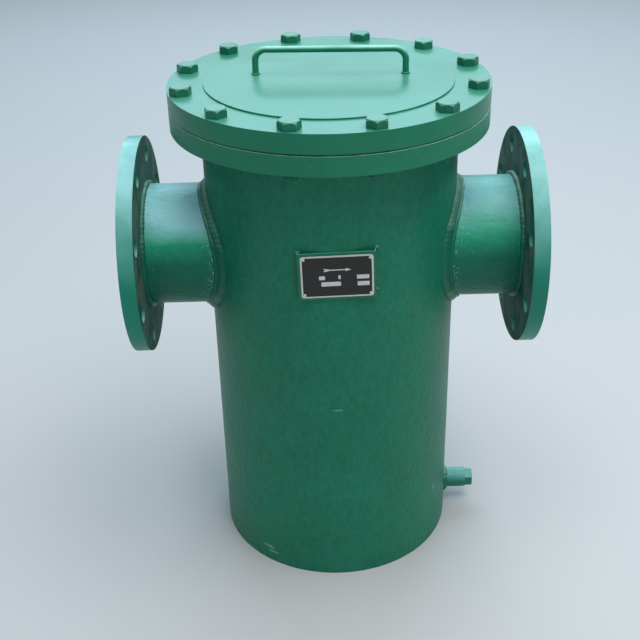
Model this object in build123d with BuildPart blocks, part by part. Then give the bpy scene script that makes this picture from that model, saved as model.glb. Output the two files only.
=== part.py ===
from build123d import *
import math
import os

# Basket strainer for a DN150 pipe line, welded from steel pipe and plate, with a bolted blind cover.
# Millimetres. Origin at the middle of the underside, X along the pipe line with the flow, Z up, front at -Y.

# Shell, bottom and bolted joint
shell_od = 325.0
shell_wall = 8.0
body_height = 633.0
bottom_thickness = 12.0
body_flange_thickness = 24.0
shell_setback = 3.0
cover_thickness = 24.0
raised_disc_inset = 30.0
raised_disc_height = 2.0
gasket_thickness = 2.0
gasket_margin = 2.25
flange_edge_chamfer = 1.2

# Cover bolts
bolt_offset = 22.5
bolt_edge = 15.0
bolt_count = 12
bolt_start_angle = 15.0
bolt_diameter = 16.0
bolt_hole = 17.5
bolt_projection = 9.6
bolt_head_flats = 24.0
bolt_head_height = 10.0
head_bevel = 1.2
bolt_head_turn_step = 23.0

# Cover handle
handle_bar = 8.0
handle_span = 187.0
handle_height = 35.0
handle_bend_radius = 14.0
handle_x = 2.5
handle_y = 14.5
handle_turn = -3.5

# Nozzles and pipe flanges
nozzle_od = 159.0
nozzle_wall = 4.5
nozzle_height = 441.0
face_to_face = 528.0
pipe_flange_rim = 20.0
raised_face_margin = 3.0
raised_face_height = 2.0
pipe_bolt_offset = 40.5
pipe_bolt_edge = 22.5
pipe_bolt_count = 8
pipe_bolt_hole = 22.0
nozzle_setback = 6.0

# Drain
drain_height = 36.0
drain_hole = 18.0
coupling_od = 29.0
coupling_length = 32.0
drain_thread = 20.0
drain_thread_depth = 16.0
plug_flats = 24.0
plug_head = 11.0

# Slanted partition that carries the basket
partition_thickness = 6.0
partition_margin = 16.0

# Basket
basket_od = 220.0
basket_wall_thickness = 2.0
screen_thickness = 1.2
basket_floor_height = 62.0
basket_floor_thickness = 3.0
basket_seat_width = 14.0
basket_rim_thickness = 5.0
basket_gasket_thickness = 3.0
window_width = 64.0
window_height = 52.0
windows_per_row = 8
window_row_pitch = 62.0
window_edge = 10.0
floor_window = 30.0
floor_strut = 8.0
bail_width = 20.0
bail_thickness = 5.0
bail_bend_radius = 32.0
bail_cover_gap = 1.0

# Nameplate on its bracket
plate_width = 87.0
plate_height = 55.0
plate_thickness = 1.0
plate_corner = 3.5
plate_x = 2.5
plate_z = 469.0
plate_turn = 1.3
bracket_border = 3.5
bracket_sheet = 1.5
bracket_leg_depth = 12.0

# Clearances
root_gap = 0.1
slip_gap = 0.25
seat_gap = 0.2
thread_gap = 0.06
basket_gap = 0.2
basket_way_gap = 4.0

# Worked out from the sizes above
shell_radius = shell_od / 2
bore_radius = shell_radius - shell_wall
bolt_circle = shell_od + 2 * bolt_offset
body_flange_od = bolt_circle + 2 * bolt_edge
gasket_od = bolt_circle - bolt_hole - 2 * gasket_margin
raised_disc_od = bolt_circle - 2 * raised_disc_inset
flange_low = body_height - body_flange_thickness
shell_top = body_height - shell_setback
cover_low = body_height + gasket_thickness + seat_gap
cover_top = cover_low + cover_thickness
disc_top = cover_top + raised_disc_height
bolt_length = cover_top + seat_gap - flange_low + bolt_projection
nozzle_radius = nozzle_od / 2
nozzle_bore = nozzle_od - 2 * nozzle_wall
pipe_bolt_circle = nozzle_od + 2 * pipe_bolt_offset
pipe_flange_od = pipe_bolt_circle + 2 * pipe_bolt_edge
raised_face_od = pipe_bolt_circle - pipe_bolt_hole - 2 * raised_face_margin
flange_back = face_to_face / 2 - raised_face_height - pipe_flange_rim
nozzle_end = face_to_face / 2 - nozzle_setback
drain_radius = coupling_od / 2
coupling_reach = shell_radius + coupling_length
drain_plane = Plane(origin=(0, 0, drain_height), x_dir=(0, 1, 0), z_dir=(1, 0, 0))

# Seat of the basket: the partition's top face runs from below the inlet bore to above the outlet bore
seat_middle = nozzle_height
seat_slope = math.atan2(nozzle_bore + 2 * partition_margin, 2 * bore_radius)
seat_plane = Plane(
    origin=(0, 0, seat_middle),
    x_dir=(math.cos(seat_slope), 0, math.sin(seat_slope)),
    z_dir=(-math.sin(seat_slope), 0, math.cos(seat_slope)),
)
basket_way = basket_od + 2 * basket_way_gap
basket_rim_od = basket_way + 2 * basket_seat_width
rim_low = basket_gasket_thickness + seat_gap
screen_radius = basket_od / 2 - basket_wall_thickness - basket_gap
most_window_rows = int(body_height / window_row_pitch)
floor_pitch = floor_window + floor_strut
floor_reach = screen_radius - window_edge
most_floor_windows = 2 * int(floor_reach / floor_pitch) + 1

# Face of the shell that the nameplate bracket is tangent to, turned a little as it was welded on
plate_plane = Plane(
    origin=(plate_x, -shell_radius - root_gap, plate_z),
    x_dir=(math.cos(math.radians(plate_turn)), 0, math.sin(math.radians(plate_turn))),
    z_dir=(0, -1, 0),
)
bracket_width = plate_width + 2 * bracket_border
bracket_height = plate_height + 2 * bracket_border

os.makedirs("parts", exist_ok=True)


def save(part, label):
    """Names a finished piece and writes it to its own file."""
    part.label = label
    export_step(part, f"parts/{label}.step")


# Shell, a length of pipe with the two nozzle holes and the drain hole cut through its wall
with BuildPart() as shell:
    with BuildSketch(Plane.XY):
        Circle(shell_radius)
        Circle(bore_radius, mode=Mode.SUBTRACT)
    extrude(amount=shell_top)
    with BuildSketch(Plane.YZ.offset(-shell_radius)):
        with Locations((0, nozzle_height)):
            Circle(nozzle_radius + slip_gap)
    extrude(amount=shell_od, mode=Mode.SUBTRACT)
    with BuildSketch(Plane.YZ):
        with Locations((0, drain_height)):
            Circle(drain_hole / 2)
    extrude(amount=shell_radius, mode=Mode.SUBTRACT)
save(shell.part, "shell")

# Flat bottom let into the end of the shell and welded flush
with BuildPart() as bottom_plate:
    with BuildSketch(Plane.XY):
        Circle(bore_radius - slip_gap)
    extrude(amount=bottom_thickness)
save(bottom_plate.part, "bottom_plate")

# Body flange, slipped over the top of the shell and tapped right through for the cover bolts
with BuildPart() as body_flange:
    with BuildSketch(Plane.XY.offset(flange_low)):
        Circle(body_flange_od / 2)
        Circle(shell_radius + slip_gap, mode=Mode.SUBTRACT)
        with PolarLocations(bolt_circle / 2, bolt_count, start_angle=bolt_start_angle):
            Circle(bolt_diameter / 2 + thread_gap, mode=Mode.SUBTRACT)
    extrude(amount=body_flange_thickness)
save(body_flange.part, "body_flange")

# Both nozzles with their flanges, inlet at -X and outlet at +X
for side, line in ((-1, "inlet"), (1, "outlet")):
    outward = Plane(origin=(0, 0, nozzle_height), x_dir=(0, 1, 0), z_dir=(side, 0, 0))

    # Pipe stub set into the shell wall, its inner end trimmed to the curve of the bore
    with BuildPart() as nozzle:
        with BuildSketch(outward):
            Circle(nozzle_radius)
            Circle(nozzle_bore / 2, mode=Mode.SUBTRACT)
        extrude(amount=nozzle_end)
        with BuildSketch(Plane.XY):
            Circle(bore_radius)
        extrude(amount=body_height, mode=Mode.SUBTRACT)
    save(nozzle.part, f"{line}_nozzle")

    # Flat slip-on pipe flange, raised face outwards, bolt holes astride both centre lines
    with BuildPart() as pipe_flange:
        with BuildSketch(outward.offset(flange_back)):
            Circle(pipe_flange_od / 2)
        extrude(amount=pipe_flange_rim)
        with BuildSketch(outward.offset(flange_back + pipe_flange_rim)):
            Circle(raised_face_od / 2)
        extrude(amount=raised_face_height)
        with BuildSketch(outward.offset(flange_back)):
            Circle(nozzle_radius + slip_gap)
            with PolarLocations(pipe_bolt_circle / 2, pipe_bolt_count, start_angle=180 / pipe_bolt_count):
                Circle(pipe_bolt_hole / 2)
        extrude(amount=pipe_flange_rim + raised_face_height, mode=Mode.SUBTRACT)
    save(pipe_flange.part, f"{line}_flange")

# Half coupling of the drain, its inner end shaped to the shell, threaded from the open end
with BuildPart() as drain_coupling:
    with BuildSketch(drain_plane):
        Circle(drain_radius)
    extrude(amount=coupling_reach)
    with BuildSketch(drain_plane):
        Circle(drain_hole / 2)
    extrude(amount=coupling_reach, mode=Mode.SUBTRACT)
    with BuildSketch(drain_plane.offset(coupling_reach)):
        Circle(drain_thread / 2 + thread_gap)
    extrude(amount=-drain_thread_depth, mode=Mode.SUBTRACT)
    with BuildSketch(Plane.XY):
        Circle(shell_radius + root_gap)
    extrude(amount=body_height, mode=Mode.SUBTRACT)
save(drain_coupling.part, "drain_coupling")

# Hexagon plug, one corner up, with its shank in the coupling
with BuildPart() as drain_plug:
    with BuildSketch(drain_plane.offset(coupling_reach + seat_gap)):
        RegularPolygon(plug_flats / 2, 6, major_radius=False, rotation=90)
    extrude(amount=plug_head)
    chamfer(faces().sort_by(Axis.X)[-1].edges(), head_bevel)
    with BuildSketch(drain_plane.offset(coupling_reach + seat_gap)):
        Circle(drain_thread / 2)
    extrude(amount=-drain_thread_depth)
save(drain_plug.part, "drain_plug")

# Slanted pieces, each an upright ring cut off along two planes parallel to the basket seat:
# the partition with the way for the basket cut straight down through it, the gasket that stays on it,
# and the basket's rim, which can only go in one way round
for label, outer_radius, inner_radius, low, high in (
    ("partition", bore_radius - slip_gap, basket_way / 2, -partition_thickness, 0),
    ("basket_gasket", basket_rim_od / 2, basket_way / 2, 0, basket_gasket_thickness),
    ("basket_rim", basket_rim_od / 2, basket_od / 2 + basket_gap, rim_low, rim_low + basket_rim_thickness),
):
    with BuildPart() as slanted_ring:
        with BuildSketch(Plane.XY):
            Circle(outer_radius)
            Circle(inner_radius, mode=Mode.SUBTRACT)
        extrude(amount=body_height)
        split(bisect_by=seat_plane.offset(high), keep=Keep.BOTTOM)
        split(bisect_by=seat_plane.offset(low), keep=Keep.TOP)
    save(slanted_ring.part, label)

# Basket wall, sheet punched with windows and cut off along the slanted rim.
# The rows go up as far as the slant leaves room for a whole window.
window_spots = []
for row in range(most_window_rows):
    window_low = basket_floor_height + basket_floor_thickness + window_edge + row * window_row_pitch
    window_z = window_low + window_height / 2
    for column in range(windows_per_row):
        angle = 360 / windows_per_row * (column + 0.5)
        window_x = basket_od / 2 * math.cos(math.radians(angle))
        window_y = basket_od / 2 * math.sin(math.radians(angle))
        room_x = window_x - window_width / 2 * abs(math.sin(math.radians(angle)))
        wall_high = seat_middle + room_x * math.tan(seat_slope) - partition_thickness / math.cos(seat_slope)
        if window_low + window_height + window_edge < wall_high:
            window_spots.append(Location((window_x, window_y, window_z), (0, 0, angle)))

with BuildPart() as basket_wall:
    with BuildSketch(Plane.XY.offset(basket_floor_height)):
        Circle(basket_od / 2)
        Circle(basket_od / 2 - basket_wall_thickness, mode=Mode.SUBTRACT)
    extrude(amount=body_height - basket_floor_height)
    split(bisect_by=seat_plane.offset(rim_low + basket_rim_thickness), keep=Keep.BOTTOM)
    with Locations(window_spots):
        Box(window_width, window_width, window_height, mode=Mode.SUBTRACT)
save(basket_wall.part, "basket_wall")

# Fine screen inside the wall, one thin sleeve standing for the woven mesh
with BuildPart() as basket_screen:
    with BuildSketch(Plane.XY.offset(basket_floor_height + basket_floor_thickness + basket_gap)):
        Circle(screen_radius)
        Circle(screen_radius - screen_thickness, mode=Mode.SUBTRACT)
    extrude(amount=body_height - basket_floor_height)
    split(bisect_by=seat_plane.offset(rim_low + basket_rim_thickness), keep=Keep.BOTTOM)
save(basket_screen.part, "basket_screen")

# Basket floor, let into the wall, with as many windows of a square grid as its plain edge leaves room for
with BuildPart() as basket_floor:
    with BuildSketch(Plane.XY.offset(basket_floor_height)):
        Circle(screen_radius)
        with GridLocations(floor_pitch, floor_pitch, most_floor_windows, most_floor_windows) as floor_grid:
            floor_spots = []
            for spot in floor_grid.locations:
                corner_x = abs(spot.position.X) + floor_window / 2
                corner_y = abs(spot.position.Y) + floor_window / 2
                if math.hypot(corner_x, corner_y) < floor_reach:
                    floor_spots.append(spot)
        with Locations(floor_spots):
            Rectangle(floor_window, floor_window, mode=Mode.SUBTRACT)
    extrude(amount=basket_floor_thickness)
save(basket_floor.part, "basket_floor")

# Bail of the basket, bent from flat bar, its feet on the slanted rim and its crossbar just under the cover
with BuildPart() as basket_bail:
    bail_top = cover_low - bail_cover_gap - bail_thickness / 2
    bail_foot = seat_middle - bail_width
    bail_leg = (basket_od + basket_rim_od) / 4
    with BuildLine(Plane.YZ) as bail_line:
        FilletPolyline(
            (-bail_leg, bail_foot),
            (-bail_leg, bail_top),
            (bail_leg, bail_top),
            (bail_leg, bail_foot),
            radius=bail_bend_radius,
        )
    with BuildSketch(Plane(origin=bail_line.line @ 0, x_dir=(1, 0, 0), z_dir=bail_line.line % 0)):
        Rectangle(bail_width, bail_thickness)
    sweep(path=bail_line.line)
    split(bisect_by=seat_plane.offset(rim_low + basket_rim_thickness), keep=Keep.TOP)
save(basket_bail.part, "basket_bail")

# Cover gasket, inside the ring of bolts
with BuildPart() as cover_gasket:
    with BuildSketch(Plane.XY.offset(body_height)):
        Circle(gasket_od / 2)
        Circle(bore_radius, mode=Mode.SUBTRACT)
    extrude(amount=gasket_thickness)
save(cover_gasket.part, "cover_gasket")

# Blind cover with its raised middle
with BuildPart() as cover_plate:
    with BuildSketch(Plane.XY.offset(cover_low)):
        Circle(body_flange_od / 2)
    extrude(amount=cover_thickness)
    chamfer(faces().sort_by(Axis.Z)[-1].edges(), flange_edge_chamfer)
    with BuildSketch(Plane.XY.offset(cover_top)):
        Circle(raised_disc_od / 2)
    extrude(amount=raised_disc_height)
    with BuildSketch(Plane.XY.offset(cover_low)):
        with PolarLocations(bolt_circle / 2, bolt_count, start_angle=bolt_start_angle):
            Circle(bolt_hole / 2)
    extrude(amount=cover_thickness, mode=Mode.SUBTRACT)
save(cover_plate.part, "cover_plate")

# One hexagon bolt on its own axis, bevelled head above and thread below the plane z = 0
with BuildPart() as cover_bolt:
    with BuildSketch(Plane.XY):
        RegularPolygon(bolt_head_flats / 2, 6, major_radius=False)
    extrude(amount=bolt_head_height)
    chamfer(faces().sort_by(Axis.Z)[-1].edges(), head_bevel)
    with BuildSketch(Plane.XY):
        Circle(bolt_diameter / 2)
    extrude(amount=-bolt_length)

# The twelve bolts of the cover, each head left turned as it was tightened
with BuildPart() as cover_bolts:
    with PolarLocations(bolt_circle / 2, bolt_count, start_angle=bolt_start_angle) as bolt_places:
        spots = list(bolt_places.locations)
    for number, spot in enumerate(spots):
        head_turn = number * bolt_head_turn_step
        with Locations(Location((spot.position.X, spot.position.Y, cover_top + seat_gap), (0, 0, head_turn))):
            add(cover_bolt.part)
save(cover_bolts.part, "cover_bolts")

# Lifting handle of the cover, one bent bar with both feet welded to the raised disc
handle_plane = Plane(
    origin=(handle_x, handle_y, disc_top),
    x_dir=(math.cos(math.radians(handle_turn)), math.sin(math.radians(handle_turn)), 0),
    z_dir=(math.sin(math.radians(handle_turn)), -math.cos(math.radians(handle_turn)), 0),
)
with BuildPart() as cover_handle:
    with BuildLine(handle_plane) as handle_line:
        FilletPolyline(
            (-handle_span / 2, 0),
            (-handle_span / 2, handle_height - handle_bar / 2),
            (handle_span / 2, handle_height - handle_bar / 2),
            (handle_span / 2, 0),
            radius=handle_bend_radius,
        )
    with BuildSketch(Plane(origin=handle_line.line @ 0, z_dir=handle_line.line % 0)):
        Circle(handle_bar / 2)
    sweep(path=handle_line.line)
save(cover_handle.part, "cover_handle")

# Bracket for the nameplate, a flat sheet tangent to the shell with both sides turned back to meet it
with BuildPart() as nameplate_bracket:
    with BuildSketch(plate_plane):
        Rectangle(bracket_width, bracket_height)
    extrude(amount=bracket_sheet)
    with BuildSketch(plate_plane):
        for side in (-1, 1):
            with Locations((side * (bracket_width - bracket_sheet) / 2, 0)):
                Rectangle(bracket_sheet, bracket_height)
    extrude(amount=-bracket_leg_depth)
    with BuildSketch(Plane.XY):
        Circle(shell_radius + root_gap)
    extrude(amount=body_height, mode=Mode.SUBTRACT)
save(nameplate_bracket.part, "nameplate_bracket")

with BuildPart() as nameplate:
    with BuildSketch(plate_plane.offset(bracket_sheet)):
        RectangleRounded(plate_width, plate_height, plate_corner)
    extrude(amount=plate_thickness)
save(nameplate.part, "nameplate")
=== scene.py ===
import math

import bpy
from mathutils import Matrix, Vector, noise


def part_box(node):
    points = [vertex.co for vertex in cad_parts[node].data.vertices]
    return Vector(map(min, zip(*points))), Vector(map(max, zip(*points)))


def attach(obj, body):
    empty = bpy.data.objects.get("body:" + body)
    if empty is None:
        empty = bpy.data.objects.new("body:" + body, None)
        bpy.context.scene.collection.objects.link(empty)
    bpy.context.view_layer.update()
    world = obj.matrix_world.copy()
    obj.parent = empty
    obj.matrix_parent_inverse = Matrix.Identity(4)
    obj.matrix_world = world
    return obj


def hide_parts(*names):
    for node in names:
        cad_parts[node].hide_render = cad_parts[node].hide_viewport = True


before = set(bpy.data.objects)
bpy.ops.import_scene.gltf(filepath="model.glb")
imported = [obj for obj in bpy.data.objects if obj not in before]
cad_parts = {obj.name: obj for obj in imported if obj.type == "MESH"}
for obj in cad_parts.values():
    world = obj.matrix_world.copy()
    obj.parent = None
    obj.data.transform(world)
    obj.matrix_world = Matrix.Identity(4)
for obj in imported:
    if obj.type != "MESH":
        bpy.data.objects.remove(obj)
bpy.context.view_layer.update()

# Camera, placed where the photographer stood: a little above the cover, looking down at the front.
# It was fitted to the outlines of the flanges, the shell and the nozzles.
camera_position = Vector((-0.0275, -1.2888, 1.0507))
camera_yaw = math.radians(0.437)
camera_pitch = math.radians(29.077)
camera_roll = math.radians(1.372)
forward = Vector((
    math.sin(camera_yaw) * math.cos(camera_pitch),
    math.cos(camera_yaw) * math.cos(camera_pitch),
    -math.sin(camera_pitch),
))
level_right = Vector((math.cos(camera_yaw), -math.sin(camera_yaw), 0))
level_down = forward.cross(level_right)
right = math.cos(camera_roll) * level_right + math.sin(camera_roll) * level_down
down = -math.sin(camera_roll) * level_right + math.cos(camera_roll) * level_down
bpy.ops.object.camera_add()
camera = bpy.context.object
camera.name = "camera"
camera.matrix_world = Matrix.Translation(camera_position) @ Matrix((right, -down, -forward)).transposed().to_4x4()
camera.data.sensor_width = 36
camera.data.lens = 59.92
camera.data.shift_y = -0.0174
bpy.context.scene.camera = camera
bpy.context.scene.view_settings.view_transform = "Standard"

# Plain pale studio floor, and soft light: a level room, a wide box overhead, a bright box behind
# whose reflection pales the cover, and a weak one in front.
bpy.ops.mesh.primitive_plane_add(size=16)
floor = bpy.context.object
floor.name = "floor"
floor_paint = bpy.data.materials.new("floor_paint")
floor_paint.use_nodes = True
floor_paint.node_tree.nodes["Principled BSDF"].inputs["Base Color"].default_value = (0.50, 0.51, 0.52, 1)
floor_paint.node_tree.nodes["Principled BSDF"].inputs["Roughness"].default_value = 0.9
floor_paint.node_tree.nodes["Principled BSDF"].inputs["Specular IOR Level"].default_value = 0.1
floor.data.materials.append(floor_paint)

room = bpy.data.worlds.new("room")
room.use_nodes = True
room.node_tree.nodes["Background"].inputs["Color"].default_value = (0.86, 0.94, 1.0, 1)
room.node_tree.nodes["Background"].inputs["Strength"].default_value = 0.42
bpy.context.scene.world = room

for light_name, place, aim, width, height, power, tint in (
    ("overhead_box", (0.5, -0.3, 2.8), (0, 0, 0.3), 2.4, 2.4, 78, (1.0, 1.0, 1.0)),
    ("back_box", (0.1, 3.2, 2.6), (0, 0, 0.55), 3.6, 1.8, 84, (0.56, 0.84, 1.0)),
    ("front_box", (1.3, -2.8, 1.3), (0, 0, 0.3), 1.6, 1.6, 6, (1.0, 1.0, 1.0)),
):
    bpy.ops.object.light_add(type="AREA", location=place)
    light = bpy.context.object
    light.name = light_name
    light.rotation_euler = (Vector(aim) - Vector(place)).to_track_quat("-Z", "Y").to_euler()
    light.data.shape = "RECTANGLE"
    light.data.size = width
    light.data.size_y = height
    light.data.energy = power
    light.data.color = tint


# Shell: a length of 325 mm steel pipe, brushed with two coats of deep green enamel in short crossing
# strokes. The paint is scratched in a few small places at the front. The inside is only primed.
def edit_alone(piece):
    """Leaves one piece selected and active, in edit mode with nothing in it selected."""
    bpy.ops.object.select_all(action="DESELECT")
    piece.select_set(True)
    bpy.context.view_layer.objects.active = piece
    bpy.ops.object.mode_set(mode="EDIT")
    bpy.ops.mesh.select_all(action="DESELECT")


def pick_faces(piece, test):
    """Selects the faces whose centre and normal pass the test, in edit mode."""
    bpy.ops.mesh.select_mode(type="FACE")
    bpy.ops.object.mode_set(mode="OBJECT")
    for face in piece.data.polygons:
        face.select = bool(test(face.center, face.normal))
    bpy.ops.object.mode_set(mode="EDIT")


def own_copy(piece, name):
    """A copy of a piece that has its own mesh."""
    twin = piece.copy()
    twin.data = piece.data.copy()
    twin.name = name
    twin.data.name = name
    bpy.context.collection.objects.link(twin)
    return twin


def smooth_copy(node, name, angle=35):
    """A merged copy of a CAD node with its curved faces shaded smooth, which stands for the node."""
    piece = own_copy(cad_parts[node], name)
    piece.data.materials.clear()
    edit_alone(piece)
    bpy.ops.mesh.select_all(action="SELECT")
    bpy.ops.mesh.customdata_custom_splitnormals_clear()
    bpy.ops.mesh.remove_doubles(threshold=0.00001)
    bpy.ops.object.mode_set(mode="OBJECT")
    bpy.ops.object.shade_smooth_by_angle(angle=math.radians(angle))
    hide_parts(node)
    return piece


def add_node(tree, kind, **values):
    """A shader node with its properties, and the values of its named or numbered sockets, set."""
    node = tree.nodes.new(kind)
    for key, value in values.items():
        if hasattr(node, key):
            setattr(node, key, value)
        else:
            node.inputs[int(key[1:]) if key[1:].isdigit() else key.replace("_", " ")].default_value = value
    return node


def join_nodes(tree, *pairs):
    """Links each pair of (node, output) and (node, input)."""
    for source, target in pairs:
        tree.links.new(source[0].outputs[source[1]], target[0].inputs[target[1]])


# What brushed enamel does to a colour: streaks along the brush, soft mottling, dust with a painted sky
# sheen that pales the faces that look towards the Dust Side, and pin-head specks.
enamel_coat = bpy.data.node_groups.new("enamel_coat", "ShaderNodeTree")
for socket_name, kind, value in (
    ("Colour", "NodeSocketColor", (0.01, 0.16, 0.095, 1)),
    ("Dust Colour", "NodeSocketColor", (0.22, 0.42, 0.36, 1)),
    ("Streaks", "NodeSocketFloat", 0.5),
    ("Dust", "NodeSocketFloat", 0.3),
    ("Dust From", "NodeSocketFloat", 0.35),
    ("Dust Full", "NodeSocketFloat", 0.95),
    ("Dust Side", "NodeSocketVector", (0, 0, 1)),
    ("Gloss", "NodeSocketFloat", 0.6),
    ("Brush", "NodeSocketVector", (55, 55, 5)),
):
    socket = enamel_coat.interface.new_socket(socket_name, in_out="INPUT", socket_type=kind)
    socket.default_value = value
for socket_name, kind in (("Colour", "NodeSocketColor"), ("Roughness", "NodeSocketFloat"), ("Height", "NodeSocketFloat")):
    enamel_coat.interface.new_socket(socket_name, in_out="OUTPUT", socket_type=kind)
tree = enamel_coat
into = add_node(tree, "NodeGroupInput")
out = add_node(tree, "NodeGroupOutput")
place = add_node(tree, "ShaderNodeTexCoord")
along_brush = add_node(tree, "ShaderNodeVectorMath", operation="MULTIPLY")
streak = add_node(tree, "ShaderNodeTexNoise", Scale=1.0, Detail=5.0, Roughness=0.6)
mottle = add_node(tree, "ShaderNodeTexNoise", Scale=11.0, Detail=7.0, Roughness=0.62)
speck = add_node(tree, "ShaderNodeTexNoise", Scale=420.0, Detail=2.0, Roughness=0.5)
grain = add_node(tree, "ShaderNodeTexNoise", Scale=160.0, Detail=3.0, Roughness=0.55)
facing = add_node(tree, "ShaderNodeNewGeometry")
facing_part = add_node(tree, "ShaderNodeVectorMath", operation="DOT_PRODUCT")
streak_span = add_node(tree, "ShaderNodeMapRange", From_Min=0.32, From_Max=0.68, To_Min=-1.0, To_Max=1.0)
mottle_span = add_node(tree, "ShaderNodeMapRange", From_Min=0.35, From_Max=0.65, To_Min=-1.0, To_Max=1.0)
streak_part = add_node(tree, "ShaderNodeMath", operation="MULTIPLY")
tone = add_node(tree, "ShaderNodeMath", operation="MULTIPLY_ADD", _1=0.42)
tone_span = add_node(tree, "ShaderNodeMath", operation="MULTIPLY_ADD", _1=0.16, _2=1.0)
shaded = add_node(tree, "ShaderNodeVectorMath", operation="SCALE")
upward = add_node(tree, "ShaderNodeMapRange")
dust_and_sheen_patch = add_node(tree, "ShaderNodeMapRange", From_Min=0.36, From_Max=0.66, To_Min=0.35, To_Max=1.0)
dust_and_sheen_part = add_node(tree, "ShaderNodeMath", operation="MULTIPLY")
dust_and_sheen_mask = add_node(tree, "ShaderNodeMath", operation="MULTIPLY", use_clamp=True)
dusted_and_sheened = add_node(tree, "ShaderNodeMix", data_type="RGBA")
speck_mask = add_node(tree, "ShaderNodeMapRange", From_Min=0.70, From_Max=0.76, To_Max=0.2)
specked = add_node(tree, "ShaderNodeMix", data_type="RGBA")
dull = add_node(tree, "ShaderNodeMath", operation="MULTIPLY_ADD", _1=-0.55, _2=0.72)
rough_wander = add_node(tree, "ShaderNodeMath", operation="MULTIPLY_ADD", _1=0.05)
height_sum = add_node(tree, "ShaderNodeMath", operation="MULTIPLY_ADD", _1=0.35)
join_nodes(
    tree,
    ((place, "Object"), (along_brush, 0)),
    ((into, "Brush"), (along_brush, 1)),
    ((along_brush, 0), (streak, "Vector")),
    ((place, "Object"), (mottle, "Vector")),
    ((place, "Object"), (speck, "Vector")),
    ((place, "Object"), (grain, "Vector")),
    ((streak, 0), (streak_span, "Value")),
    ((mottle, 0), (mottle_span, "Value")),
    ((streak_span, 0), (streak_part, 0)),
    ((into, "Streaks"), (streak_part, 1)),
    ((mottle_span, 0), (tone, 0)),
    ((streak_part, 0), (tone, 2)),
    ((tone, 0), (tone_span, 0)),
    ((into, "Colour"), (shaded, 0)),
    ((tone_span, 0), (shaded, "Scale")),
    ((facing, "Normal"), (facing_part, 0)),
    ((into, "Dust Side"), (facing_part, 1)),
    ((facing_part, "Value"), (upward, "Value")),
    ((into, "Dust From"), (upward, "From Min")),
    ((into, "Dust Full"), (upward, "From Max")),
    ((mottle, 0), (dust_and_sheen_patch, "Value")),
    ((upward, 0), (dust_and_sheen_part, 0)),
    ((dust_and_sheen_patch, 0), (dust_and_sheen_part, 1)),
    ((dust_and_sheen_part, 0), (dust_and_sheen_mask, 0)),
    ((into, "Dust"), (dust_and_sheen_mask, 1)),
    ((dust_and_sheen_mask, 0), (dusted_and_sheened, "Factor")),
    ((shaded, 0), (dusted_and_sheened, 6)),
    ((into, "Dust Colour"), (dusted_and_sheened, 7)),
    ((speck, 0), (speck_mask, "Value")),
    ((speck_mask, 0), (specked, "Factor")),
    ((dusted_and_sheened, 2), (specked, 6)),
    ((into, "Dust Colour"), (specked, 7)),
    ((specked, 2), (out, "Colour")),
    ((into, "Gloss"), (dull, 0)),
    ((mottle_span, 0), (rough_wander, 0)),
    ((dull, 0), (rough_wander, 2)),
    ((rough_wander, 0), (out, "Roughness")),
    ((grain, 0), (height_sum, 0)),
    ((streak_span, 0), (height_sum, 2)),
    ((height_sum, 0), (out, "Height")),
)

enamel_green = (0.008, 0.160, 0.092, 1)


def enamel(name, relief=0.00012, **values):
    """A material of the enamel coat over plain steel, with its own colour, streaks, dust with painted sheen, and
    gloss.
    """
    paint = bpy.data.materials.new(name)
    paint.use_nodes = True
    tree = paint.node_tree
    surface = tree.nodes["Principled BSDF"]
    surface.inputs["Specular IOR Level"].default_value = 0.36
    coat = add_node(tree, "ShaderNodeGroup", node_tree=enamel_coat)
    coat.inputs["Colour"].default_value = enamel_green
    for key, value in values.items():
        coat.inputs[key.replace("_", " ")].default_value = value
    relief_node = add_node(tree, "ShaderNodeBump", Strength=0.6, Distance=relief)
    join_nodes(
        tree,
        ((coat, "Colour"), (surface, "Base Color")),
        ((coat, "Roughness"), (surface, "Roughness")),
        ((coat, "Height"), (relief_node, "Height")),
        ((relief_node, "Normal"), (surface, "Normal")),
    )
    return paint, coat, surface


# How far a point lies from an axis through the middle; keep is 0 along the axis and 1 across it
off_axis = bpy.data.node_groups.new("off_axis", "ShaderNodeTree")
for socket_name, value in (("Middle", (0, 0, 0)), ("Keep", (1, 1, 0))):
    off_axis.interface.new_socket(socket_name, in_out="INPUT", socket_type="NodeSocketVector").default_value = value
off_axis.interface.new_socket("Distance", in_out="OUTPUT", socket_type="NodeSocketFloat")
tree = off_axis
into = add_node(tree, "NodeGroupInput")
out = add_node(tree, "NodeGroupOutput")
place = add_node(tree, "ShaderNodeTexCoord")
from_middle = add_node(tree, "ShaderNodeVectorMath", operation="SUBTRACT")
across_axis = add_node(tree, "ShaderNodeVectorMath", operation="MULTIPLY")
reach = add_node(tree, "ShaderNodeVectorMath", operation="LENGTH")
join_nodes(
    tree,
    ((place, "Object"), (from_middle, 0)),
    ((into, "Middle"), (from_middle, 1)),
    ((from_middle, 0), (across_axis, 0)),
    ((into, "Keep"), (across_axis, 1)),
    ((across_axis, 0), (reach, 0)),
    ((reach, "Value"), (out, "Distance")),
)

primer_colour = (0.11, 0.15, 0.13, 1)


def prime_inside(paint, surface, radius, middle=(0, 0, 0), keep=(1, 1, 0)):
    """Grey-green primer in place of enamel on whatever lies nearer the axis than the radius."""
    tree = paint.node_tree
    outer_colour = surface.inputs["Base Color"].links[0].from_socket
    distance = add_node(tree, "ShaderNodeGroup", node_tree=off_axis)
    distance.inputs["Middle"].default_value = middle
    distance.inputs["Keep"].default_value = keep
    inside = add_node(tree, "ShaderNodeMath", operation="LESS_THAN", _1=radius)
    primed = add_node(tree, "ShaderNodeMix", data_type="RGBA")
    primed.inputs[7].default_value = primer_colour
    tree.links.new(outer_colour, primed.inputs[6])
    join_nodes(
        tree,
        ((distance, 0), (inside, 0)),
        ((inside, 0), (primed, "Factor")),
        ((primed, 2), (surface, "Base Color")),
    )


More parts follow.
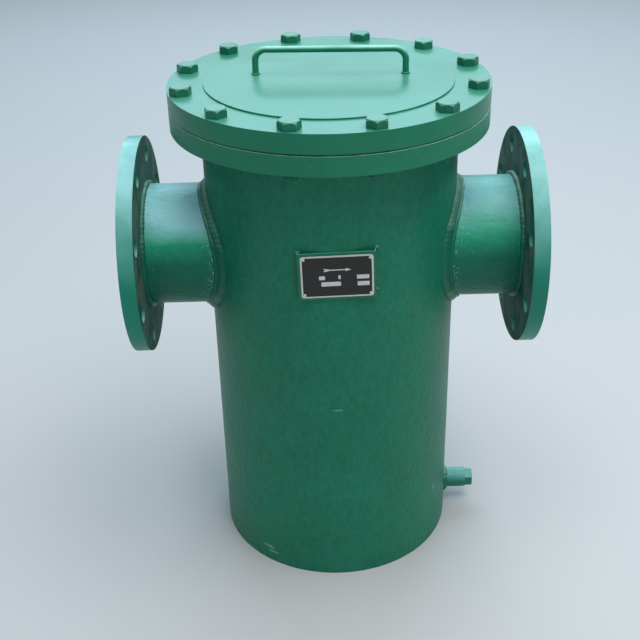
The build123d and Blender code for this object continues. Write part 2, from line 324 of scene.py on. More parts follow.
shell_low, shell_high = (Vector(corner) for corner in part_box("shell"))
shell_radius = shell_high.x
shell_paint, shell_coat, shell_surface = enamel(
    "shell_enamel", relief=0.0004, Colour=(0.0110, 0.176, 0.100, 1), Streaks=0.85, Dust=0.25, Gloss=0.62,
    Brush=(150, 150, 95))
shell_surface.inputs["Specular IOR Level"].default_value = 0.19
shell = smooth_copy("shell", "pipe_shell")
shell.data.materials.append(shell_paint)
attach(shell, "housing")

# Scratches: two strokes low on the left, a short one in the middle and a chip beside the drain
tree = shell_paint.node_tree
scratch_place = add_node(tree, "ShaderNodeTexCoord")
scratch_noise = add_node(tree, "ShaderNodeTexNoise", Scale=140.0, Detail=5.0, Roughness=0.7)
scratch_ragged = add_node(tree, "ShaderNodeMath", operation="MULTIPLY_ADD", _1=0.006, _2=-0.003)
scratch_colour = add_node(tree, "ShaderNodeMix", data_type="RGBA")
scratch_colour.inputs[7].default_value = (0.20, 0.42, 0.34, 1)
join_nodes(
    tree,
    ((scratch_place, "Object"), (scratch_noise, "Vector")),
    ((scratch_noise, 0), (scratch_ragged, 0)),
)
scratches = None
for scratch_at, stretch, reach in (
    ((-0.0985, -0.1293, 0.0235), (0.35, 0.35, 1.6), 0.0030),
    ((-0.0930, -0.1333, 0.0165), (0.35, 0.35, 1.9), 0.0026),
    ((0.0010, -0.1625, 0.2750), (0.50, 0.50, 3.2), 0.0024),
    ((0.1370, -0.0874, 0.0880), (1.0, 1.0, 0.6), 0.0020),
):
    away = add_node(tree, "ShaderNodeVectorMath", operation="SUBTRACT", _1=scratch_at)
    squeezed = add_node(tree, "ShaderNodeVectorMath", operation="MULTIPLY", _1=stretch)
    span = add_node(tree, "ShaderNodeVectorMath", operation="LENGTH")
    ragged = add_node(tree, "ShaderNodeMath", operation="ADD")
    scratch = add_node(tree, "ShaderNodeMapRange", From_Min=reach + 0.0008, From_Max=reach, To_Max=0.7)
    join_nodes(
        tree,
        ((scratch_place, "Object"), (away, 0)),
        ((away, 0), (squeezed, 0)),
        ((squeezed, 0), (span, 0)),
        ((span, "Value"), (ragged, 0)),
        ((scratch_ragged, 0), (ragged, 1)),
        ((ragged, 0), (scratch, "Value")),
    )
    if scratches is None:
        scratches = scratch
    else:
        both = add_node(tree, "ShaderNodeMath", operation="MAXIMUM")
        join_nodes(tree, ((scratches, 0), (both, 0)), ((scratch, 0), (both, 1)))
        scratches = both
join_nodes(
    tree,
    ((scratches, 0), (scratch_colour, "Factor")),
    ((shell_coat, "Colour"), (scratch_colour, 6)),
    ((scratch_colour, 2), (shell_surface, "Base Color")),
)
prime_inside(shell_paint, shell_surface, shell_radius - 0.004)

# Bottom plate: 12 mm steel disc let into the end of the shell, painted with it.
bottom = smooth_copy("bottom_plate", "bottom_disc")
bottom.data.materials.append(enamel("bottom_enamel", Streaks=0.3, Dust=0.1, Gloss=0.4)[0])
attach(bottom, "housing")


# Body flange: a ring cut from 24 mm plate, slipped over the shell and welded, drilled and tapped
# for twelve M16 bolts. Its edges are rounded by the thick paint.
def drill(piece, axis, radius, spots, depth=0.2):
    """Bores a round hole along the axis through the piece at each spot."""
    turn = {"X": (0, math.pi / 2, 0), "Z": (0, 0, 0)}[axis]
    bpy.ops.object.select_all(action="DESELECT")
    drills = []
    for spot in spots:
        bpy.ops.mesh.primitive_cylinder_add(
            vertices=40 if radius < 0.05 else 144, radius=radius, depth=depth, location=spot, rotation=turn)
        drills.append(bpy.context.object)
    for tool in drills:
        tool.select_set(True)
    bpy.ops.object.join()
    tool = bpy.context.object
    bpy.ops.object.select_all(action="DESELECT")
    piece.select_set(True)
    bpy.context.view_layer.objects.active = piece
    cut = piece.modifiers.new("bore", "BOOLEAN")
    cut.object = tool
    cut.operation = "DIFFERENCE"
    cut.solver = "EXACT"
    bpy.ops.object.modifier_apply(modifier=cut.name)
    bpy.data.objects.remove(tool)


def soften_edges(piece, width, segments=2):
    """Rounds every sharp edge of the piece by the width and shades it as one painted form."""
    bpy.ops.object.select_all(action="DESELECT")
    piece.select_set(True)
    bpy.context.view_layer.objects.active = piece
    bpy.ops.object.shade_smooth()
    round_off = piece.modifiers.new("round_off", "BEVEL")
    round_off.width = width
    round_off.segments = segments
    round_off.limit_method = "ANGLE"
    round_off.angle_limit = math.radians(40)
    bpy.ops.object.modifier_apply(modifier=round_off.name)
    flat_faces = piece.modifiers.new("flat_faces", "WEIGHTED_NORMAL")
    flat_faces.keep_sharp = False
    bpy.ops.object.modifier_apply(modifier=flat_faces.name)


def round_plate(name, axis, radius, thickness, middle, step_inset=0, step_height=0, step_side=1):
    """A disc cut from plate, with a raised face on one side if a step is given."""
    bpy.ops.object.select_all(action="DESELECT")
    turn = {"X": (0, math.pi / 2, 0), "Z": (0, 0, 0)}[axis]
    way = {"X": Vector((1, 0, 0)), "Z": Vector((0, 0, 1))}[axis] * step_side
    bpy.ops.mesh.primitive_cylinder_add(
        vertices=192, radius=radius, depth=thickness, location=middle, rotation=turn)
    piece = bpy.context.object
    bpy.ops.object.transform_apply(location=True, rotation=True, scale=True)
    piece.name = name
    piece.data.name = name
    if step_inset:
        edit_alone(piece)
        pick_faces(piece, lambda centre, normal: normal.dot(way) > 0.99)
        bpy.ops.mesh.inset(thickness=step_inset)
        bpy.ops.mesh.extrude_region_move(TRANSFORM_OT_translate={"value": way * step_height})
        bpy.ops.object.mode_set(mode="OBJECT")
    return piece


def around(middle, radius, count, start, axis="Z"):
    """Evenly spaced points on a circle around the middle."""
    points = []
    for number in range(count):
        angle = math.radians(start + 360 * number / count)
        across = Vector((math.cos(angle), math.sin(angle), 0))
        if axis == "X":
            across = Vector((0, math.cos(angle), math.sin(angle)))
        points.append(Vector(middle) + radius * across)
    return points


bolt_circle = 0.370
bolt_count = 12
bolt_start = 15
ring_low, ring_high = (Vector(corner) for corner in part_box("body_flange"))
ring_middle = (0, 0, (ring_low.z + ring_high.z) / 2)
body_ring = round_plate("body_ring", "Z", ring_high.x, ring_high.z - ring_low.z, ring_middle)
drill(body_ring, "Z", shell_radius + 0.00025, [ring_middle])
drill(body_ring, "Z", 0.0081, around(ring_middle, bolt_circle / 2, bolt_count, bolt_start))
soften_edges(body_ring, 0.0016, 3)
# Its strong Dust on faces that look up gives the top edge a pale line: a painted highlight, with dust.
body_ring.data.materials.append(enamel(
    "body_ring_enamel", relief=0.0003, Colour=(0.007, 0.185, 0.098, 1), Streaks=0.35,
    Dust=1.4, Dust_From=0.2, Dust_Full=0.7, Dust_Colour=(0.38, 0.72, 0.60, 1), Gloss=0.6, Brush=(110, 110, 110))[0])
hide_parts("body_flange")
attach(body_ring, "housing")

# Nozzles: two stubs of 159 mm pipe let into the shell, each with a DN150 slip-on flange cut from
# plate, with a raised face and eight holes that straddle the centre lines. All painted green.
nozzle_radius = 0.0795
pipe_bolt_circle = 0.240
nozzle_axis_z = sum(corner[2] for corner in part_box("inlet_flange")) / 2
# The rings' Dust pales their rims, most at the top and front: dust with a painted sky sheen.
pipe_ring_paint, pipe_ring_coat, surface = enamel(
    "pipe_ring_enamel", Colour=(0.011, 0.225, 0.145, 1), Streaks=0.35, Dust=1.3, Dust_From=0.15, Dust_Full=1.0,
    Dust_Side=(0, -0.1, 1), Dust_Colour=(0.25, 0.55, 0.56, 1), Gloss=0.66, Brush=(40, 12, 12))
surface.inputs["Specular IOR Level"].default_value = 0.22

# The flat sides of the rings are painted darker than their rims, as painted shade, with grey patches
tree = pipe_ring_paint.node_tree
ring_facing = add_node(tree, "ShaderNodeNewGeometry")
ring_sideways = add_node(tree, "ShaderNodeVectorMath", operation="DOT_PRODUCT", _1=(1, 0, 0))
ring_flat = add_node(tree, "ShaderNodeMath", operation="ABSOLUTE")
flat_side_shade_mask = add_node(tree, "ShaderNodeMapRange", From_Min=0.7, From_Max=0.95, To_Max=0.8)
flat_side_shade = add_node(tree, "ShaderNodeMix", data_type="RGBA")
grey_patch_place = add_node(tree, "ShaderNodeTexCoord")
grey_patches = add_node(tree, "ShaderNodeTexNoise", Scale=24.0, Detail=5.0, Roughness=0.6)
grey_patch_mask = add_node(tree, "ShaderNodeMapRange", From_Min=0.42, From_Max=0.58)
shade_with_grey_patches = add_node(tree, "ShaderNodeMix", data_type="RGBA")
shade_with_grey_patches.inputs[6].default_value = (0.007, 0.062, 0.042, 1)
shade_with_grey_patches.inputs[7].default_value = (0.100, 0.142, 0.132, 1)
flat_side_rough = add_node(tree, "ShaderNodeMath", operation="MAXIMUM")
join_nodes(
    tree,
    ((ring_facing, "Normal"), (ring_sideways, 0)),
    ((ring_sideways, "Value"), (ring_flat, 0)),
    ((ring_flat, 0), (flat_side_shade_mask, "Value")),
    ((flat_side_shade_mask, 0), (flat_side_shade, "Factor")),
    ((pipe_ring_coat, "Colour"), (flat_side_shade, 6)),
    ((grey_patch_place, "Object"), (grey_patches, "Vector")),
    ((grey_patches, 0), (grey_patch_mask, "Value")),
    ((grey_patch_mask, 0), (shade_with_grey_patches, "Factor")),
    ((shade_with_grey_patches, 2), (flat_side_shade, 7)),
    ((flat_side_shade, 2), (surface, "Base Color")),
    ((flat_side_shade_mask, 0), (flat_side_rough, 0)),
    ((pipe_ring_coat, "Roughness"), (flat_side_rough, 1)),
    ((flat_side_rough, 0), (surface, "Roughness")),
)
# The tops of the pipes are paled by their Dust, the inlet most: dust with a painted sky sheen.
for side, line, dust, sheen_and_dust_colour in (
    (-1, "inlet", 1.9, (0.29, 0.66, 0.70, 1)), (1, "outlet", 0.98, (0.24, 0.51, 0.60, 1)),
):
    nozzle = smooth_copy(f"{line}_nozzle", f"{line}_pipe")
    nozzle_paint, nozzle_coat, surface = enamel(
        f"{line}_pipe_enamel", relief=0.0005, Streaks=0.5, Dust=dust, Dust_From=0.38, Dust_Full=0.84,
        Dust_Colour=sheen_and_dust_colour, Gloss=0.66, Brush=(70, 110, 110))
    nozzle.data.materials.append(nozzle_paint)
    surface.inputs["Specular IOR Level"].default_value = 0.2

    # The upper half is painted brighter, as painted light from above; spatter from the root weld, painted
    # over, thins out along the pipe, and its specks are painted pale, as painted glints
    tree = nozzle_paint.node_tree
    nozzle_facing = add_node(tree, "ShaderNodeNewGeometry")
    nozzle_up = add_node(tree, "ShaderNodeVectorMath", operation="DOT_PRODUCT", _1=(0, 0, 1))
    lit_upper_half = add_node(tree, "ShaderNodeMapRange", From_Min=0.05, From_Max=0.5)
    nozzle_lit_colour = add_node(tree, "ShaderNodeMix", data_type="RGBA")
    nozzle_lit_colour.inputs[6].default_value = (0.006, 0.150, 0.088, 1)
    nozzle_lit_colour.inputs[7].default_value = (0.020, 0.360, 0.205, 1)
    from_shell = add_node(tree, "ShaderNodeGroup", node_tree=off_axis)
    near_weld = add_node(
        tree, "ShaderNodeMapRange", From_Min=shell_radius + 0.026, From_Max=shell_radius + 0.006, To_Max=0.16)
    spatter_place = add_node(tree, "ShaderNodeTexCoord")
    spatter = add_node(tree, "ShaderNodeTexNoise", Scale=330.0, Detail=2.0)
    spatter_sum = add_node(tree, "ShaderNodeMath", operation="ADD")
    spatter_glint_mask = add_node(tree, "ShaderNodeMapRange", From_Min=0.70, From_Max=0.78, To_Max=0.4)
    # Spatter specks near the root weld, coloured pale as painted glints
    spatter_with_glints = add_node(tree, "ShaderNodeMix", data_type="RGBA")
    spatter_with_glints.inputs[7].default_value = (0.42, 0.78, 0.70, 1)
    join_nodes(
        tree,
        ((nozzle_facing, "Normal"), (nozzle_up, 0)),
        ((nozzle_up, "Value"), (lit_upper_half, "Value")),
        ((lit_upper_half, 0), (nozzle_lit_colour, "Factor")),
        ((nozzle_lit_colour, 2), (nozzle_coat, "Colour")),
        ((from_shell, 0), (near_weld, "Value")),
        ((spatter_place, "Object"), (spatter, "Vector")),
        ((spatter, 0), (spatter_sum, 0)),
        ((near_weld, 0), (spatter_sum, 1)),
        ((spatter_sum, 0), (spatter_glint_mask, "Value")),
        ((spatter_glint_mask, 0), (spatter_with_glints, "Factor")),
        ((nozzle_coat, "Colour"), (spatter_with_glints, 6)),
        ((spatter_with_glints, 2), (surface, "Base Color")),
    )
    prime_inside(nozzle_paint, surface, nozzle_radius - 0.002, (0, 0, nozzle_axis_z), (0, 1, 1))
    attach(nozzle, "housing")

    face_low, face_high = (Vector(corner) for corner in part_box(f"{line}_flange"))
    raised = 0.002
    rim_middle = ((face_low.x + face_high.x) / 2 - side * raised / 2, 0, nozzle_axis_z)
    pipe_ring = round_plate(
        f"{line}_pipe_ring", "X", face_high.y, face_high.x - face_low.x - raised, rim_middle,
        step_inset=face_high.y - 0.106, step_height=raised, step_side=side)
    drill(pipe_ring, "X", nozzle_radius + 0.00025, [rim_middle])
    drill(pipe_ring, "X", 0.011, around(rim_middle, pipe_bolt_circle / 2, 8, 22.5, "X"))
    soften_edges(pipe_ring, 0.0011)
    pipe_ring.data.materials.append(pipe_ring_paint)
    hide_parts(f"{line}_flange")
    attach(pipe_ring, "housing")


# Weld beads: hand-laid arc welds, each a row of overlapping ripples, painted over with the rest.
def weld_bead(name, middle, axis, radius, leg, ripples, wrap=0, flatten=0, seed=0.0):
    """A rippled bead round an axis. With wrap, it also follows the curve of the shell of that radius.
    Flatten draws it out between the pipe and the shell, like the face of a fillet."""
    turn = {"X": (0, math.pi / 2, 0), "Z": (0, 0, 0)}[axis]
    bpy.ops.object.select_all(action="DESELECT")
    bpy.ops.mesh.primitive_torus_add(
        major_segments=ripples * 5, minor_segments=10, major_radius=radius, minor_radius=leg,
        location=(0, 0, 0), rotation=turn)
    bead = bpy.context.object
    bpy.ops.object.transform_apply(location=True, rotation=True, scale=True)
    bead.name = name
    bead.data.name = name
    for point in bead.data.vertices:
        flat = Vector((point.co.x, point.co.y, 0)) if axis == "Z" else Vector((0, point.co.y, point.co.z))
        spine = flat.normalized() * radius
        lift = point.co - spine
        angle = math.atan2(flat.y, flat.x) if axis == "Z" else math.atan2(flat.z, flat.y)
        lag = 0.9 * abs(lift.normalized().dot(Vector((0, 0, 1)) if axis == "Z" else Vector((1, 0, 0))))
        ripple = math.sin(ripples * angle + lag)
        wander = noise.noise(Vector((math.cos(angle) * 5 + seed, math.sin(angle) * 5, seed)))
        lift *= 1 + 0.10 * ripple + 0.22 * wander
        if flatten:
            outward = math.copysign(lift.x, lift.x * middle[0])
            radial = lift.dot(flat.normalized())
            away = (outward + radial) / 2 * flatten
            along = (outward - radial) / 2 / flatten
            lift = Vector((math.copysign(away + along, (away + along) * middle[0]), 0, 0))
            lift += flat.normalized() * (away - along)
        point.co = spine * (1 + 0.3 * leg / radius * wander) + lift
        if wrap:
            point.co.x -= math.copysign(wrap - math.sqrt(wrap * wrap - point.co.y * point.co.y), middle[0])
        point.co += Vector(middle)
    bpy.ops.object.shade_smooth()
    bead.data.materials.append(weld_paint)
    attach(bead, "housing")
    return bead


# The beads' Dust pales their upper faces: dust with painted highlights on the bead tops.
weld_paint, weld_coat, surface = enamel(
    "weld_enamel", relief=0.0003, Colour=(0.008, 0.135, 0.080, 1), Streaks=0.4, Dust=1.0, Dust_From=0.2,
    Dust_Full=0.9, Gloss=0.72)
surface.inputs["Specular IOR Level"].default_value = 0.2
weld_bead("weld_under_body_ring", (0, 0, ring_low.z - 0.001), "Z", shell_radius + 0.001, 0.0042, 150, seed=1.3)
weld_bead("weld_bottom", (0, 0, 0.0035), "Z", shell_radius - 0.0035, 0.0026, 140, seed=2.6)
for side, line in ((-1, "inlet"), (1, "outlet")):
    weld_bead(
        f"weld_{line}_root", (side * (shell_radius + 0.0034), 0, nozzle_axis_z), "X", nozzle_radius + 0.0034,
        0.0042, 84, wrap=shell_radius, flatten=0.62, seed=3.9 + side)
    weld_bead(
        f"weld_{line}_root_toe", (side * (shell_radius + 0.0080), 0, nozzle_axis_z), "X", nozzle_radius + 0.0002,
        0.0024, 96, wrap=shell_radius, seed=5.2 + side)
    back = abs(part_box(f"{line}_flange")[0 if side > 0 else 1][0])
    weld_bead(
        f"weld_{line}_ring_back", (side * (back - 0.001), 0, nozzle_axis_z), "X", nozzle_radius + 0.001, 0.0040, 80,
        seed=7.1 + side)
    weld_bead(
        f"weld_{line}_ring_face", (side * (back + 0.0165), 0, nozzle_axis_z), "X", nozzle_radius - 0.0012, 0.0022, 70,
        seed=9.4 + side)
drain_low, drain_high = (Vector(corner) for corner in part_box("drain_coupling"))
drain_axis_z = (drain_low.z + drain_high.z) / 2
weld_bead(
    "weld_drain_root", (shell_radius + 0.0020, 0, drain_axis_z), "X", drain_high.y + 0.0020, 0.0034, 26,
    wrap=shell_radius, flatten=0.65, seed=11.2)

# Cover: a blind flange of 24 mm plate with a low raised disc in the middle, drilled for the bolts.
# Its top is the palest surface of the strainer: it looks at the sky, and its paint holds dust with a painted sky
# reflection.
plate_low, plate_high = (Vector(corner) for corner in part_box("cover_plate"))
raised_disc_height = 0.002
raised_disc_radius = 0.155
cover_thickness = plate_high.z - plate_low.z - raised_disc_height
cover_middle = (0, 0, plate_low.z + cover_thickness / 2)
cover = round_plate(
    "blind_cover", "Z", plate_high.x, cover_thickness, cover_middle,
    step_inset=plate_high.x - raised_disc_radius, step_height=raised_disc_height)
drill(cover, "Z", 0.00875, around(cover_middle, bolt_circle / 2, bolt_count, bolt_start))
soften_edges(cover, 0.0012)
cover_paint = enamel(
    "cover_enamel", Colour=(0.007, 0.185, 0.098, 1), Streaks=0.25, Dust=0.30, Dust_Colour=(0.19, 0.39, 0.40, 1),
    Gloss=0.7, Brush=(8, 40, 8))[0]
cover.data.materials.append(cover_paint)
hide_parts("cover_plate")
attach(cover, "cover")

# Cover gasket: a 2 mm sheet rubber ring between the two flanges, inside the bolts.
rubber = bpy.data.materials.new("gasket_rubber")
rubber.use_nodes = True
tree = rubber.node_tree
rubber_grain = add_node(tree, "ShaderNodeTexNoise", Scale=700.0, Detail=3.0)
rubber_place = add_node(tree, "ShaderNodeTexCoord")
rubber_tone = add_node(tree, "ShaderNodeValToRGB")
rubber_tone.color_ramp.elements[0].color = (0.010, 0.010, 0.011, 1)
rubber_tone.color_ramp.elements[1].color = (0.035, 0.034, 0.033, 1)
rubber_relief = add_node(tree, "ShaderNodeBump", Strength=0.5, Distance=0.0001)
tree.nodes["Principled BSDF"].inputs["Roughness"].default_value = 0.75
join_nodes(
    tree,
    ((rubber_place, "Object"), (rubber_grain, "Vector")),
    ((rubber_grain, 0), (rubber_tone, 0)),
    ((rubber_tone, 0), (tree.nodes["Principled BSDF"], "Base Color")),
    ((rubber_grain, 0), (rubber_relief, "Height")),
    ((rubber_relief, "Normal"), (tree.nodes["Principled BSDF"], "Normal")),
)
for node, name in (("cover_gasket", "cover_seal_ring"), ("basket_gasket", "basket_seal_ring")):
    seal = smooth_copy(node, name)
    seal.data.materials.append(rubber)
    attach(seal, "housing")

# Cover bolts: twelve M16 hexagon bolts, galvanised and then painted over with the cover, so that
# the heads are green too. Each was left turned as it was tightened.
bolt_paint = enamel("bolt_enamel", relief=0.0002, Streaks=0.3, Dust=0.42, Gloss=0.66, Brush=(60, 60, 60))[0]
head_flats = 0.024
head_height = 0.010
bolt_radius = 0.008
thread_pitch = 0.002
bolt_length = 0.060
head_turn_step = 23


def hexagon_head(name, flats, height, chamfer_rise):
    """A hexagon head standing on z = 0, its top corners turned off to a cone."""
    bpy.ops.object.select_all(action="DESELECT")
    corners = flats / math.sqrt(3)
    bpy.ops.mesh.primitive_cylinder_add(
        vertices=6, radius=corners, depth=height, location=(0, 0, height / 2), rotation=(0, 0, math.pi / 6))
    head = bpy.context.object
    bpy.ops.object.transform_apply(location=True, rotation=True, scale=True)
    cone_height = 0.03
    top_radius = flats * 0.47
    spread = (corners - top_radius) / chamfer_rise
    bpy.ops.mesh.primitive_cone_add(
        vertices=48, radius1=top_radius + spread * cone_height, radius2=top_radius, depth=cone_height,
        location=(0, 0, height - cone_height / 2))
    turning = bpy.context.object
    bpy.ops.object.select_all(action="DESELECT")
    head.select_set(True)
    bpy.context.view_layer.objects.active = head
    turned = head.modifiers.new("turned", "BOOLEAN")
    turned.object = turning
    turned.operation = "INTERSECT"
    turned.solver = "EXACT"
    bpy.ops.object.modifier_apply(modifier=turned.name)
    bpy.data.objects.remove(turning)
    soften_edges(head, 0.0004, 2)
    head.name = name
    head.data.name = name
    return head


def threaded_rod(name, radius, length, threaded, pitch, depth):
    """A rod below z = 0 whose lower part is cut with a screw thread."""
    bpy.ops.object.select_all(action="DESELECT")
    bpy.ops.mesh.primitive_cylinder_add(
        vertices=28, radius=radius, depth=length - threaded, location=(0, 0, -(length - threaded) / 2))
    rod = bpy.context.object
    bpy.ops.object.transform_apply(location=True, rotation=True, scale=True)
    rod.name = name
    rod.data.name = name
    edit_alone(rod)
    pick_faces(rod, lambda centre, normal: normal.z < -0.9)
    steps = round(threaded / pitch * 4)
    for step in range(steps):
        bpy.ops.mesh.extrude_region_move(TRANSFORM_OT_translate={"value": (0, 0, -threaded / steps)})
    bpy.ops.object.mode_set(mode="OBJECT")
    for point in rod.data.vertices:
        below = -(length - threaded) - point.co.z
        if below > 0.0001:
            turn = math.atan2(point.co.y, point.co.x) / (2 * math.pi)
            wave = abs(((below / pitch + turn) % 1) * 2 - 1)
            lead = max(0, 1 - (threaded - below) / pitch)
            across = 1 - (depth * wave + depth * lead) / radius
            point.co.x *= across
            point.co.y *= across
    bpy.ops.object.shade_smooth_by_angle(angle=math.radians(25))
    return rod


bolt_top = plate_low.z + cover_thickness + 0.0002
first_bolt = hexagon_head("cover_bolt_1", head_flats, head_height, 0.0024)
rod = threaded_rod("rod", bolt_radius, bolt_length, 0.026, thread_pitch, 0.0009)
bpy.ops.object.select_all(action="DESELECT")
rod.select_set(True)
first_bolt.select_set(True)
bpy.context.view_layer.objects.active = first_bolt
bpy.ops.object.join()
first_bolt.data.materials.append(bolt_paint)
cover_bolts = [first_bolt]
for number in range(2, bolt_count + 1):
    cover_bolts.append(own_copy(first_bolt, f"cover_bolt_{number}"))
for number, spot in enumerate(around((0, 0, bolt_top), bolt_circle / 2, bolt_count, bolt_start)):
    bolt = cover_bolts[number]
    bolt.rotation_euler = (0, 0, math.radians(head_turn_step * number))
    bolt.location = spot
    bpy.ops.object.select_all(action="DESELECT")
    bolt.select_set(True)
    bpy.context.view_layer.objects.active = bolt
    bpy.ops.object.transform_apply(location=True, rotation=True, scale=True)
    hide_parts("cover_bolts")
    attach(bolt, "bolts")

# Cover handle: one 8 mm round bar, bent twice and welded upright on the raised disc, with a small
# bead round each foot. Its top is paled by dust with a painted sky sheen.
handle = smooth_copy("cover_handle", "lifting_handle", angle=60)
handle_paint, handle_coat, surface = enamel(
    "handle_enamel", Colour=(0.010, 0.200, 0.110, 1), Streaks=0.2, Dust=1.3, Dust_From=0.2, Dust_Full=0.9,
    Dust_Colour=(0.30, 0.68, 0.56, 1), Gloss=0.7)
surface.inputs["Specular IOR Level"].default_value = 0.24
handle.data.materials.append(handle_paint)
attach(handle, "cover")
handle_low, handle_high = (Vector(corner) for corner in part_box("cover_handle"))
handle_bar = 0.008
foot_turn = math.radians(-3.5)
handle_centre = (handle_low + handle_high) / 2
foot_span = 0.187
for side, foot_name in ((-1, "left"), (1, "right")):
    foot = Vector((
        handle_centre.x + side * foot_span / 2 * math.cos(foot_turn),
        handle_centre.y + side * foot_span / 2 * math.sin(foot_turn),
        handle_low.z + 0.0008,
    ))
    bead = weld_bead(f"weld_handle_{foot_name}", foot, "Z", handle_bar / 2 + 0.0002, 0.0013, 9, seed=13.0 + side)
    bead.data.materials[0] = cover_paint
    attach(bead, "cover")

# Drain: a half coupling welded low on the outlet side, closed by a hexagon plug.
coupling = smooth_copy("drain_coupling", "drain_half_coupling")
# The drain's Dust pales its upper faces: dust with a painted sky sheen.
drain_paint = enamel(
    "drain_enamel", Colour=(0.010, 0.190, 0.125, 1), Streaks=0.2, Dust=0.9, Dust_From=0.1, Dust_Full=0.85,
    Dust_Colour=(0.17, 0.50, 0.46, 1), Gloss=0.66)[0]
coupling.data.materials.append(drain_paint)
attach(coupling, "housing")
plug = smooth_copy("drain_plug", "drain_hexagon_plug", angle=20)
plug.data.materials.append(drain_paint)
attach(plug, "plug")

# Nameplate bracket: a flat sheet with both sides turned back to the shell, tacked on and painted.
bracket = smooth_copy("nameplate_bracket", "nameplate_holder")
# Its Dust pales the top edge into a light line: a painted highlight, with dust.
bracket.data.materials.append(enamel(
    "bracket_enamel", Streaks=0.2, Dust=1.2, Dust_From=0.5, Dust_Full=0.9, Dust_Colour=(0.16, 0.62, 0.48, 1),
    Gloss=0.6)[0])
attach(bracket, "housing")
bracket_low, bracket_high = (Vector(corner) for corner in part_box("nameplate_bracket"))
bpy.ops.object.select_all(action="DESELECT")
bpy.ops.mesh.primitive_uv_sphere_add(segments=20, ring_count=10, radius=0.0032)
first_tack = bpy.context.object
first_tack.name = "weld_bracket_tack_1"
first_tack.data.name = first_tack.name
first_tack.scale = (1.25, 0.8, 1.0)
bpy.ops.object.transform_apply(location=True, rotation=True, scale=True)
for point in first_tack.data.vertices:
    point.co += 0.0009 * noise.noise_vector(point.co * 320)
bpy.ops.object.shade_smooth()
first_tack.data.materials.append(weld_paint)
tacks = [first_tack] + [own_copy(first_tack, f"weld_bracket_tack_{number}") for number in (2, 3, 4)]
tack_turn_step = 80
for number, (tack_x, tack_z) in enumerate((
    (bracket_low.x + 0.0012, bracket_high.z - 0.004),
    (bracket_high.x - 0.0002, bracket_high.z - 0.0015),
    (bracket_low.x + 0.003, bracket_low.z + 0.008),
    (bracket_high.x - 0.0002, bracket_low.z + 0.008),
)):
    tack = tacks[number]
    tack.rotation_euler = (0, math.radians(tack_turn_step * number), 0)
    tack.location = (tack_x, -math.sqrt(shell_radius * shell_radius - tack_x * tack_x) - 0.0005, tack_z)
    bpy.ops.object.select_all(action="DESELECT")
    tack.select_set(True)
    bpy.context.view_layer.objects.active = tack
    bpy.ops.object.transform_apply(location=True, rotation=True, scale=True)
    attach(tack, "housing")


# Nameplate: 1 mm aluminium with a black printed field inside a bare border, held by four rivets.
# The field carries a plain flow arrow and blank pale boxes.
def metal(name, colour, roughness, grain_scale, relief=0.00005):
    """Bare metal with fine rolling grain."""
    bare = bpy.data.materials.new(name)
    bare.use_nodes = True
    tree = bare.node_tree
    surface = tree.nodes["Principled BSDF"]
    surface.inputs["Metallic"].default_value = 1.0
    spot = add_node(tree, "ShaderNodeTexCoord")
    stretch = add_node(tree, "ShaderNodeVectorMath", operation="MULTIPLY", _1=grain_scale)
    lines = add_node(tree, "ShaderNodeTexNoise", Scale=1.0, Detail=4.0, Roughness=0.6)
    tone = add_node(tree, "ShaderNodeValToRGB")
    tone.color_ramp.elements[0].color = (*(channel * 0.72 for channel in colour), 1)
    tone.color_ramp.elements[0].position = 0.3
    tone.color_ramp.elements[1].color = (*colour, 1)
    tone.color_ramp.elements[1].position = 0.7
    sheen = add_node(tree, "ShaderNodeMapRange", To_Min=roughness - 0.08, To_Max=roughness + 0.1)
    relief_node = add_node(tree, "ShaderNodeBump", Strength=0.4, Distance=relief)
    join_nodes(
        tree,
        ((spot, "Object"), (stretch, 0)),
        ((stretch, 0), (lines, "Vector")),
        ((lines, 0), (tone, 0)),
        ((tone, 0), (surface, "Base Color")),
        ((lines, 0), (sheen, "Value")),
        ((sheen, 0), (surface, "Roughness")),
        ((lines, 0), (relief_node, "Height")),
        ((relief_node, "Normal"), (surface, "Normal")),
    )
    return bare


def printed(name, colour, roughness):
    """Flat print with a little unevenness in its ink."""
    ink = bpy.data.materials.new(name)
    ink.use_nodes = True
    tree = ink.node_tree
    surface = tree.nodes["Principled BSDF"]
    spot = add_node(tree, "ShaderNodeTexCoord")
    cloud = add_node(tree, "ShaderNodeTexNoise", Scale=260.0, Detail=4.0)
    tone = add_node(tree, "ShaderNodeValToRGB")
    tone.color_ramp.elements[0].color = (*(channel * 0.7 for channel in colour), 1)
    tone.color_ramp.elements[1].color = (*(channel * 1.15 for channel in colour), 1)
    surface.inputs["Roughness"].default_value = roughness
    join_nodes(
        tree,
        ((spot, "Object"), (cloud, "Vector")),
        ((cloud, 0), (tone, 0)),
        ((tone, 0), (surface, "Base Color")),
    )
    return ink


aluminium = metal("nameplate_aluminium", (0.74, 0.78, 0.71), 0.5, (900, 900, 60))
aluminium.node_tree.nodes["Principled BSDF"].inputs["Metallic"].default_value = 0.35
black_print = printed("black_print", (0.012, 0.011, 0.012), 0.42)
pale_print = printed("pale_print", (0.66, 0.67, 0.64), 0.5)
nameplate = smooth_copy("nameplate", "bare_nameplate", angle=20)
nameplate.data.materials.append(aluminium)
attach(nameplate, "housing")
name_low, name_high = (Vector(corner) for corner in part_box("nameplate"))
name_middle = Vector(((name_low.x + name_high.x) / 2, name_low.y, (name_low.z + name_high.z) / 2))
name_turn = math.radians(-1.3)


def on_nameplate(piece, name, finish):
    """Turns a piece made flat about the origin, front at -Y, on to the face of the nameplate."""
    piece.name = name
    piece.data.name = name
    piece.rotation_euler = (0, name_turn, 0)
    piece.location = name_middle
    bpy.ops.object.select_all(action="DESELECT")
    piece.select_set(True)
    bpy.context.view_layer.objects.active = piece
    bpy.ops.object.transform_apply(location=True, rotation=True, scale=True)
    piece.data.materials.append(finish)
    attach(piece, "housing")


